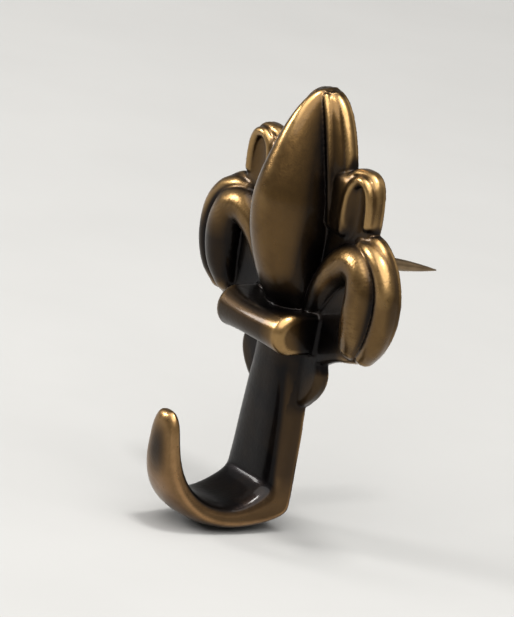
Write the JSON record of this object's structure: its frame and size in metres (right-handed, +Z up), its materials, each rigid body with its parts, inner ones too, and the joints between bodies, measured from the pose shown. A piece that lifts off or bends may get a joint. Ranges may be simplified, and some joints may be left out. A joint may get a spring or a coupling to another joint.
{
  "type": "picture hook",
  "caption": "Cast fleur-de-lis picture hook in antique brass finish, with a J hook in front and a steel push pin in its flat back that presses into the wall.",
  "frame": {"origin": "where the pin leaves the flat back", "axes": "+X to the right seen from the room, +Y into the wall, +Z up"},
  "size_m": [0.0236, 0.0239, 0.0339],
  "materials": {
    "antique_brass": "antique brass, dark in the recesses and rubbed bright on the high edges, glossy",
    "pin_steel": "brownish bronzed steel, satin"
  },
  "bodies": {
    "root": {"hanger_body": "antique_brass", "push_pin": "pin_steel"}
  },
  "joints": []
}
